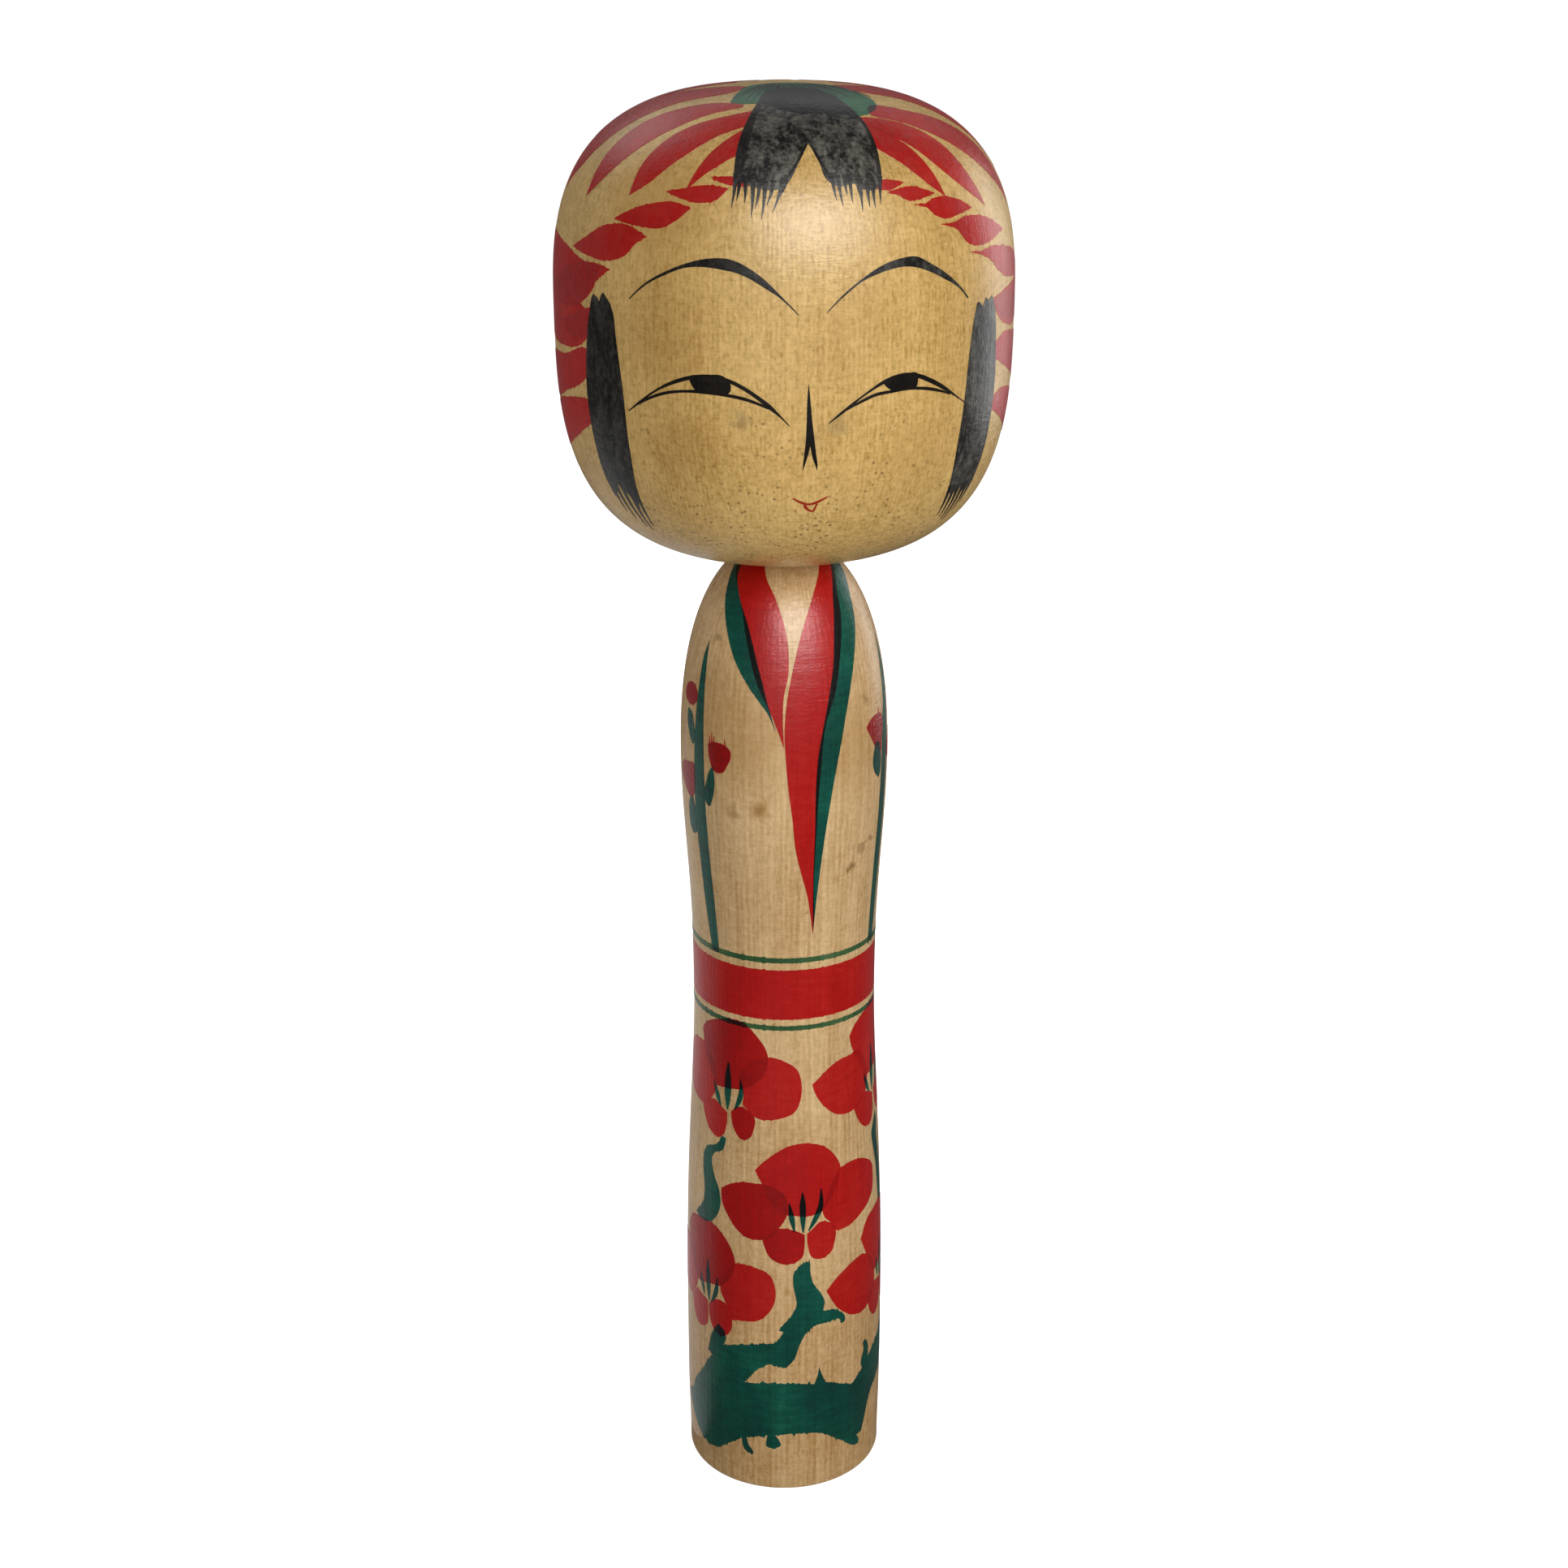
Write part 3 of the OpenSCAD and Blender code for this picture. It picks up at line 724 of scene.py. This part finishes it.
def crown(paint):
    """The tuft on top: red rays all round, a forelock in ink and a green fan over it."""
    side = [(-49, 2, C), (-43, 8), (-34, 11), (-22, 12.6), (-11, 13), (-8, 9), (-16, 4), (-30, -1),
            (-42, -1.6)]
    back = [(-7, 46, C), (-10.4, 36), (-8.6, 26), (-4, 14), (0, 9), (3, 14), (4.4, 26), (1, 38)]
    rays = [
        [(-45.2, 19.4, C), (-40.2, 17), (-30.6, 15.2), (-21.1, 16.6), (-12.5, 20), (-10, 22.4),
         (-16.5, 23.1), (-23.4, 23.5), (-33, 23), (-42, 21)],
        [(-36.2, 31.6, C), (-31.5, 28), (-24, 25.6), (-12.9, 25.5), (-7, 25.8), (-8.6, 28.8),
         (-16, 30.8), (-24.7, 32.5), (-32, 32.8)],
        [(-24.7, 39.5, C), (-21.6, 36.9), (-16.5, 33.5), (-9, 31), (-10, 35.4), (-16, 37.4), (-21, 38.5)],
        [(50.3, 13.2, C), (42.1, 12.1), (33, 13.8), (21.6, 18.7), (13, 22.4), (13, 25), (20, 24.9),
         (29.8, 23.5), (41.6, 19.4)],
        [(41.4, 29.8, C), (34.4, 27.9), (27.1, 25.8), (17, 25.8), (10, 28.2), (14.4, 30.2), (20.3, 31.4),
         (28.9, 33), (35.4, 32.2)],
        [(29.8, 38, C), (26.2, 35.3), (21, 32.3), (11, 30), (12, 33.8), (19, 36.8), (26, 38.2)],
        side,
        [(-x, y - 1, *m) for x, y, *m in side],
    ]
    for turn in (-150, -122, -100, 180, 150, 122, 100):
        c, s = cos(radians(turn)), sin(radians(turn))
        rays.append([(x * c + y * s, y * c - x * s, *m) for x, y, *m in back])
    for points in rays:
        paint.area("crown_rays", "red", points, angles=False, bleed=0.3, worn=0.14)
    paint.area("fringe", "ink", [
        (-5.6, 17), (-8, 24.7), (-10, 29.3), (-12, 34.7), (-14.7, 41.3, C), (-12.4, 43.2), (-10, 44.5),
        (-7.3, 45.3), (-5, 45), (-3.7, 43.7), (-2, 41), (0.4, 36.3, C), (1.7, 39), (4, 44.3), (6, 45),
        (8.7, 44), (11.3, 44.7), (13.3, 44.3), (14.8, 42.7, C), (14.7, 40.7), (14, 37), (13, 32.7),
        (11.7, 28.7), (8.7, 22), (6.4, 16), (3.4, 12.8), (0, 11.8), (-3.4, 12.8)],
        coat="fringe", bleed=0, angles=False, worn=1.0)
    for rim in ([(-5, 17.4, 1), (-9.6, 29.3, 1.5), (-11.6, 34.7, 2), (-13.7, 40.8, 1.6)],
                [(6, 17.4, 0.6), (8.4, 22.4, 0.7), (11.4, 28.9, 0.7), (13.6, 37, 0.8), (14.2, 41, 0.8)],
                [(-3.9, 43, 0.5), (-2.2, 40.6, 0.5), (0.2, 36.2, 0.4)],
                [(0.9, 36.6, 0.4), (1.9, 39.2, 0.5), (4.2, 43.6, 0.5)]):
        paint.line("fringe", "ink", rim, coat="fringe", angles=False, worn=0.2)
    tips = [(-14, 41.6, -16.3, 46.5), (-13.4, 42.4, -15, 45.6), (-12.4, 43, -13.4, 46.4),
            (-11, 44, -12.6, 49.4), (-9.6, 44, -11.5, 48), (-8.6, 44.6, -10.5, 50.1), (-7, 44.6, -9, 47.8),
            (-5, 44.4, -8, 49.3), (-4.4, 44, -6, 46.6), (4.4, 43.6, 5.4, 47.6), (5.6, 44, 6.8, 48.5),
            (7, 43.6, 7.6, 46.4), (8, 43.4, 8.8, 47.6), (9.6, 43.6, 10.4, 46.4), (10.2, 43.8, 11.1, 48.9),
            (11.6, 44, 12.6, 47.7), (12.8, 43.8, 13.8, 47.6), (14.3, 42.4, 14.9, 46.4)]
    for x0, y0, x1, y1 in tips:
        paint.line("fringe", "ink", [
            (x0, y0 - 1.2, 1.0), ((x0 + x1) / 2, (y0 + y1) / 2, 0.48), (x1, y1, 0.07)],
            coat="fringe", angles=False, worn=0.3)
    paint.area("crown_fan", "fan_green", [
        (-12.2, 20, C), (-11.3, 17), (-10, 13.7), (-8.8, 10), (-5.8, 6), (0, 3.4), (5, 5), (8.6, 8),
        (10.7, 11.3), (12.2, 14), (14.3, 17.3), (14.8, 21.3), (13.7, 24), (11, 26.7), (5, 27.3), (0, 27.6),
        (-4, 25.5), (-7, 22.3, C), (-10.6, 21.2)], angles=False, bleed=0.3)
    for i in range(21):
        a = radians(-34 + 3.8 * i + 2.4 * paint.rng.random())
        low, high = 5 + 2 * paint.rng.random(), 18.5 + 3.5 * cos(a) + paint.rng.random()
        paint.line("crown_fan", "ink", [
            (low * sin(a), low * cos(a), 0.3), (12 * sin(a), 12 * cos(a), 0.55),
            (high * sin(a), high * cos(a), 0.12)], coat="fan lines", angles=False)


# ---- Materials ----


class Graph:
    """The nodes of one material."""

    def __init__(self, name):
        self.material = bpy.data.materials.new(name)
        self.material.use_nodes = True
        self.tree = self.material.node_tree
        self.tree.nodes.clear()

    def add(self, kind, inputs=None, **settings):
        node = self.tree.nodes.new("ShaderNode" + kind)
        for name, value in settings.items():
            setattr(node, name, value)
        for key, value in (inputs or {}).items():
            if isinstance(value, bpy.types.NodeSocket):
                self.tree.links.new(value, node.inputs[key])
            else:
                node.inputs[key].default_value = value
        return node

    def math(self, operation, *values):
        return self.add("Math", dict(enumerate(values)), operation=operation).outputs[0]

    def total(self, *values):
        """The sum of the values."""
        result = values[0]
        for value in values[1:]:
            result = self.math("ADD", result, value)
        return result

    def vector(self, operation, *values):
        return self.add("VectorMath", dict(enumerate(values)), operation=operation).outputs[0]

    def scaled(self, vector, factor):
        return self.add("VectorMath", {"Vector": vector, "Scale": factor}, operation="SCALE").outputs[0]

    def mix(self, share, a, b):
        """Colour a where share is 0, and b where it is 1."""
        return self.add("Mix", {"Factor": share, 6: a, 7: b}, data_type="RGBA").outputs[2]

    def level(self, value, low, high, bottom=0.0, top=1.0):
        """The value moved from the range low to high into bottom to top, and held there."""
        inputs = {0: value, 1: low, 2: high, 3: bottom, 4: top}
        return self.add("MapRange", inputs).outputs[0]

    def noise(self, vector, per_metre, detail=2.0, rough=0.5):
        """Noise with so many cells to a metre along x, y and z."""
        place = self.vector("MULTIPLY", vector, per_metre)
        inputs = {"Vector": place, "Scale": 1.0, "Detail": detail, "Roughness": rough}
        return self.add("TexNoise", inputs).outputs[0]

    def attribute(self, name):
        return self.add("Attribute", attribute_name=name).outputs["Fac"]


# Transmission of one coat of each colour, as red, green and blue
DYES = dict(
    red=(0.72, 0.013, 0.016),
    green=(0.002, 0.175, 0.25),
    ink=(0.007, 0.007, 0.01),
    lip=(0.62, 0.10, 0.09),
    thin_green=(0.07, 0.27, 0.20),
    fan_green=(0.04, 0.36, 0.5),
)


def stain_and_shade_patch(graph, colour, place, surface, spot, tint):
    """A ragged darker patch round a point of (degrees, height, radius in millimetres, strength): small ones
    are stains, wide gold ones are partly painted shade.
    """
    degrees, height, radius, strength = spot
    centre, _ = surface.place(surface.sheet([(degrees, height)]), 0)
    centre = tuple(float(v) for v in centre[0])
    ragged = graph.level(graph.noise(place, (420, 420, 420), 3), 0.3, 0.7, -0.0011, 0.0011)
    distance = graph.add("VectorMath", {0: place, 1: centre}, operation="DISTANCE").outputs["Value"]
    distance = graph.math("ADD", distance, ragged)
    share = graph.level(distance, radius * 0.35 / 1000, radius / 1000, strength, 0.0)
    return graph.mix(share, colour, tint)


def foxing(graph, place, z, foxed):
    """Small brown specks: few over most of the wood, and many round the head's underside."""
    cells = graph.add("TexVoronoi", {"Vector": place, "Scale": 760.0}).outputs["Distance"]
    crowd = graph.level(z, 0.222, 0.262, foxed, 0.0)
    lowest = graph.math("SUBTRACT", 0.64, graph.math("MULTIPLY", crowd, 0.22))
    patches = graph.noise(place, (160, 160, 160), 3, 0.7)
    many = graph.level(graph.math("SUBTRACT", patches, lowest), 0.0, 0.09)
    speck = graph.math("MULTIPLY", graph.level(cells, 0.12, 0.3, 1, 0), many)
    return graph.math("MULTIPLY", speck, 0.75)


def wood(graph, surface, light, dark, offset, ribs, streaky, mottled, foxed, stains_and_shade):
    """Waxed wood: upright grain crossed by the lathe's fine rings.

    Gives the texture place, the colour, the relief, and the noises that dye follows.
    """
    place = graph.add("TexCoord").outputs["Object"]
    x, y, z = graph.add("SeparateXYZ", {0: place}).outputs
    grown = graph.vector("ADD", place, offset)
    streak = graph.noise(grown, (900, 900, 9), 2, 0.55)
    fine = graph.noise(grown, (1900, 1900, 420), 2, 0.6)
    broad = graph.noise(grown, (110, 110, 9), 2)
    rings = graph.noise(grown, (240, 240, 1000), 2, 0.6)
    hair_rings = graph.noise(grown, (600, 600, 2300), 1, 0.6)
    cloud = graph.noise(grown, (38, 38, 26), 4, 0.65)
    pores = graph.noise(grown, (1500, 1500, 900), 2, 0.65)
    # Year rings cut upright by the turning show as swaying ribs that come and go
    turns = graph.math("MULTIPLY", graph.math("ARCTAN2", x, y), ribs)
    sway = graph.noise(grown, (160, 160, 12), 2)
    rib = graph.math("SINE", graph.math("ADD", turns, graph.math("MULTIPLY", sway, 9.0)))
    present = graph.level(graph.noise(grown, (300, 300, 30), 1), 0.35, 0.6, 0.15, 1)
    rib = graph.math("MULTIPLY", graph.level(rib, -1, 1), present)
    grain = graph.total(
        graph.level(streak, 0.34, 0.66, -0.05, streaky),
        graph.level(fine, 0.3, 0.7, -0.1, 0.24),
        graph.level(broad, 0.35, 0.65, 0, streaky * 0.4),
        graph.level(hair_rings, 0.3, 0.7, -0.08, 0.12),
        graph.level(rings, 0.35, 0.65, -0.05, 0.08),
        graph.level(cloud, 0.35, 0.7, -0.12, 0.34),
        graph.level(pores, 0.45, 0.7, -0.05, mottled),
        graph.math("MULTIPLY", rib, streaky),
        # Darker towards the foot
        graph.level(z, 0.0, 0.1, 0.28, 0.0),
    )
    colour = graph.mix(grain, light, dark)
    colour = graph.mix(foxing(graph, grown, z, foxed), colour, (0.17, 0.085, 0.03, 1))
    # Stains, and wide gold patches that are partly painted shade
    for *spot, tint in stains_and_shade:
        colour = stain_and_shade_patch(graph, colour, place, surface, spot, tint)
    # The lathe's own rings are deepest on the shoulders
    turned = graph.noise(grown, (25, 25, 700), 2, 0.6)
    shoulder = graph.math("MULTIPLY", graph.level(z, 0.172, 0.188), graph.level(z, 0.2, 0.212, 1, 0))
    relief = graph.total(
        graph.math("MULTIPLY", streak, streaky * 3),
        graph.math("MULTIPLY", hair_rings, 0.6),
        graph.math("MULTIPLY", rings, 0.9),
        graph.math("MULTIPLY", fine, 0.6),
        graph.math("MULTIPLY", pores, -0.5),
        graph.math("MULTIPLY", rib, streaky * -0.8),
        graph.math("MULTIPLY", shoulder, graph.math("MULTIPLY", turned, 1.3)),
    )
    return grown, colour, relief, (streak, fine, rings)


def finished(graph, place, colour, relief, strength):
    """The shader: grained wood under a thin, smoother coat of wax, rubbed in streaks up the grain."""
    cloud = graph.level(graph.noise(place, (90, 90, 40), 3), 0.3, 0.7, 0.24, 0.38)
    rubbed = graph.level(graph.noise(place, (1100, 1100, 40), 3, 0.7), 0.35, 0.65, -0.06, 0.06)
    bump = graph.add("Bump", {"Strength": strength, "Distance": RELIEF, "Height": relief})
    waxed = graph.add("Bump", {"Strength": strength * 0.16, "Distance": RELIEF, "Height": relief})
    shader = graph.add("BsdfPrincipled", {
        "Base Color": colour, "Roughness": graph.math("ADD", cloud, rubbed), "Normal": bump.outputs[0],
        "IOR": 1.45, "Specular IOR Level": 0.15, "Coat Weight": 0.6, "Coat Roughness": 0.4,
        "Coat IOR": 1.4, "Coat Normal": waxed.outputs[0]})
    output = graph.add("OutputMaterial")
    graph.tree.links.new(shader.outputs[0], output.inputs[0])
    return graph.material


def wood_material(name, **look):
    graph = Graph(name)
    place, colour, relief, _ = wood(graph, **look)
    return finished(graph, place, colour, relief, 0.5)


def paint_material(name, **look):
    """Dyes and ink seen through the wood's own grain: each coat takes its share of the light."""
    graph = Graph(name)
    place, colour, relief, (streak, fine, rings) = wood(graph, **look)
    pooled = graph.noise(place, (70, 70, 45), 3, 0.6)
    uneven = graph.total(
        graph.level(streak, 0.3, 0.7, 0.96, 1.03),
        graph.level(fine, 0.3, 0.7, -0.04, 0.04),
        graph.level(rings, 0.3, 0.7, -0.11, 0.11),
        graph.level(pooled, 0.35, 0.65, -0.12, 0.22),
    )
    even = [(a + b) / 2 for a, b in zip(look["light"], look["dark"])]
    colour = graph.mix(0.65, colour, even)
    # Coats add up as powers of the transmission: the logarithms are summed, then raised again
    thickness = None
    for dye, shares in DYES.items():
        logs = tuple(float(v) for v in np.log(shares))
        coats = graph.math("MULTIPLY", graph.attribute(dye), uneven)
        part = graph.scaled(logs, coats)
        thickness = part if thickness is None else graph.vector("ADD", thickness, part)
    split = graph.add("SeparateXYZ", {0: thickness})
    parts = {i: graph.math("EXPONENT", split.outputs[i]) for i in range(3)}
    stained = graph.vector("MULTIPLY", colour, graph.add("CombineXYZ", parts).outputs[0])
    stained = graph.vector("ADD", stained, (0.001, 0.001, 0.001))
    # Worn ink has gone grey in small patches
    mottle = graph.noise(place, (1000, 1000, 700), 4, 0.75)
    patch = graph.noise(place, (300, 300, 110), 3, 0.65)
    rubbed = graph.total(
        graph.level(mottle, 0.42, 0.64, -0.05, 0.58), graph.level(patch, 0.38, 0.64, -0.15, 0.45))
    share = graph.math("MULTIPLY", graph.attribute("worn"), graph.math("MAXIMUM", rubbed, 0.0))
    stained = graph.mix(share, stained, (0.185, 0.175, 0.145, 1))
    return finished(graph, place, stained, relief, 0.45)


# Ribs is how many upright ribs go round. Streaky, mottled and foxed are strengths
# Gold serves small stains, and wide patches that are partly the wood's own tone and partly painted shade
BROWN, GOLD_STAIN_AND_SHADE, GREY = (0.22, 0.11, 0.03, 1), (0.42, 0.21, 0.05, 1), (0.27, 0.2, 0.1, 1)
BODY_LOOK = dict(
    surface=BODY, light=(0.78, 0.54, 0.275, 1), dark=(0.45, 0.245, 0.085, 1), offset=(0.31, 0.12, 0.4),
    ribs=104.0, streaky=0.24, mottled=0.16, foxed=0.0,
    stains_and_shade=[(-28, 162, 1.7, 0.45, BROWN), (-14, 163, 3.2, 0.7, GOLD_STAIN_AND_SHADE), (-14.5, 162.6, 1.4, 0.35, BROWN),
            (42, 149, 1.3, 0.75, BROWN), (50, 152, 1.2, 0.5, BROWN), (57, 153, 1.1, 0.6, BROWN),
            (52, 184, 1.4, 0.5, BROWN), (-46, 197, 1.3, 0.5, BROWN), (33, 122, 0.9, 0.4, BROWN),
            # Wide gold patches on the upper sides: painted shade that darkens the sides against the lighter
            # middle, partly the wood's own tone
            (-32, 178, 18, 0.45, GOLD_STAIN_AND_SHADE), (38, 176, 14, 0.35, GOLD_STAIN_AND_SHADE)],
)
HEAD_LOOK = dict(
    surface=HEAD, light=(0.83, 0.55, 0.2, 1), dark=(0.44, 0.24, 0.05, 1), offset=(0.73, 0.57, 0.1),
    ribs=300.0, streaky=0.15, mottled=0.36, foxed=1.0,
    stains_and_shade=[(-17, 247.5, 2.2, 0.35, GREY), (-17, 246, 1.8, 0.3, BROWN), (6.5, 246, 2.6, 0.3, GREY),
            # Wide gold patches on the left of the face and forehead: painted shade on the side away from the
            # light, partly the wood's own tone
            (-32, 241, 10, 0.4, GOLD_STAIN_AND_SHADE), (-36, 262, 14, 0.3, GOLD_STAIN_AND_SHADE), (-40, 284, 16, 0.45, GOLD_STAIN_AND_SHADE),
            (30, 238, 10, 0.2, GOLD_STAIN_AND_SHADE), (12, 262, 12, 0.15, GOLD_STAIN_AND_SHADE), (0, 243, 3, 0.2, GREY)],
)
body_wood = wood_material("body_wood", **BODY_LOOK)
head_wood = wood_material("head_wood", **HEAD_LOOK)
body_paint = paint_material("body_paint", **BODY_LOOK)
head_paint = paint_material("head_paint", **HEAD_LOOK)

# ---- Pieces ----


def body_outline():
    """The body from the middle of its foot, with the lathe's rings underneath, to the tenon's tip."""
    under = [(0, 0.25), (2, 0.25), (2.4, 0.05)]
    for r in np.arange(4, FOOT_R - 3, 2.2):
        under += [(r, 0.02), (r + 0.3, 0.22), (r + 0.7, 0.22), (r + 1, 0.02)]
    a = np.radians(np.arange(-90, 0, 9))
    edge = np.c_[FOOT_R - FOOT_ROUND * (1 - np.cos(a)), FOOT_ROUND * (1 + np.sin(a))]
    top = SEAT_Z + TENON_H
    tenon = [(TENON_R, SEAT_Z), (TENON_R, top - 1), (TENON_R - 0.3, top - 0.4), (TENON_R - 1, top), (0, top)]
    return np.vstack([under, edge, body_side(), tenon])


def head_outline():
    """The head from the socket's end, out over the chin and the cheeks, to the crown's pole."""
    socket = [(0, SOCKET_H + 2), (SOCKET_R, SOCKET_H), (SOCKET_R, 0.8), (SOCKET_R + 0.8, 0)]
    socket = np.array(socket) + [0, SEAT_Z]
    return np.vstack([socket, head_side()[::-1]])


body_shell = turned_shell("body_turning", body_outline(), "body", body_wood)
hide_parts("body")
head_shell = turned_shell("head_turning", head_outline(), "head", head_wood)
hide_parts("head")

body_painting = Painting(BODY, "body", 11)
for brush in (sash, plum_left, plum_right, collar, flowers, branches, trunk):
    brush(body_painting)
body_painting.films(body_paint)

head_painting = Painting(HEAD, "head", 23)
for brush in (side_strokes, hairline, crown, sideburns, brows, eyes, nose_and_mouth):
    brush(head_painting)
head_painting.films(head_paint)


# ---- Floor and light ----


def stage():
    """A pale floor that curves up into a backdrop, and glows so that it stays pale."""
    graph = Graph("backdrop")
    place = graph.add("TexCoord").outputs["Object"]
    tone = graph.level(graph.noise(place, (3, 3, 3), 2), 0.3, 0.7, 0.9, 0.93)
    colour = graph.add("CombineXYZ", {0: tone, 1: tone, 2: tone}).outputs[0]
    shader = graph.add("BsdfPrincipled", {
        "Base Color": colour, "Roughness": 0.9, "Specular IOR Level": 0.1,
        "Emission Color": (1, 1, 1, 1), "Emission Strength": 0.85})
    output = graph.add("OutputMaterial")
    graph.tree.links.new(shader.outputs[0], output.inputs[0])
    bend = [(1.2 + 0.8 * sin(radians(t)), 0.8 - 0.8 * cos(radians(t))) for t in range(0, 91, 9)]
    line = [(-1.6, 0)] + bend + [(2.0, 2.4)]
    points = [(x, y, z) for y, z in line for x in (-2.4, 2.4)]
    faces = [(2 * i, 2 * i + 1, 2 * i + 3, 2 * i + 2) for i in range(len(line) - 1)]
    mesh = bpy.data.meshes.new("floor")
    mesh.from_pydata(points, [], faces)
    mesh.shade_smooth()
    mesh.materials.append(graph.material)
    floor = bpy.data.objects.new("floor", mesh)
    scene.collection.objects.link(floor)
    floor.visible_diffuse = False
    floor.visible_glossy = False


def softbox(name, place, target, size, power, shines=True, lights=True):
    """A soft light of a size in metres and a power in watts, unseen by the camera.

    Shines is whether gloss shows it, and lights is whether it lights plain surfaces.
    """
    data = bpy.data.lights.new(name, "AREA")
    data.shape = "RECTANGLE"
    data.size, data.size_y = size
    data.energy = power
    light = bpy.data.objects.new(name, data)
    light.location = place
    light.rotation_euler = (Vector(target) - Vector(place)).to_track_quat("-Z", "Y").to_euler()
    light.visible_camera = False
    light.visible_glossy = shines
    light.visible_diffuse = lights
    scene.collection.objects.link(light)


stage()
softbox("key", (0.74, -0.88, 0.64), (0, 0, 0.2), (0.5, 0.5), 9.6, shines=False)
softbox("front_top", (0.25, -0.88, 0.76), (0, 0, 0.25), (0.85, 0.6), 24, lights=False)
softbox("fill", (-0.4, -1.1, 0.45), (0, 0, 0.15), (0.7, 0.7), 1.9, shines=False)
softbox("low", (-0.35, -0.8, 0.04), (0, 0, 0.25), (1.0, 0.06), 1.6, shines=False)
softbox("chin_table", (0, -0.17, 0.005), (0, -0.17, 1), (0.6, 0.2), 0.1, shines=False)
softbox("top", (0.1, 0.85, 0.95), (0, 0, 0.25), (1.2, 0.4), 0.8, lights=False)
softbox("left_top", (-0.54, 0.52, 0.93), (0, 0, 0.29), (0.5, 0.5), 1.2)
softbox("left_edge", (-0.9, 0.5, 0.35), (0, 0, 0.15), (0.35, 0.9), 2.4, shines=False)
softbox("left_table", (-0.3, 0.2, 0.005), (-0.3, 0.2, 1), (0.56, 0.42), 0.34, lights=False)
softbox("right_edge", (0.85, 0.65, 0.3), (0, 0, 0.15), (0.5, 0.8), 3.0)
softbox("back", (-0.3, 1.0, 0.6), (0, 0, 0.15), (0.7, 0.7), 4, shines=False)
world = bpy.data.worlds.new("world")
world.use_nodes = True
world.node_tree.nodes["Background"].inputs[0].default_value = (1, 1, 1, 1)
world.node_tree.nodes["Background"].inputs[1].default_value = 0.09
scene.world = world
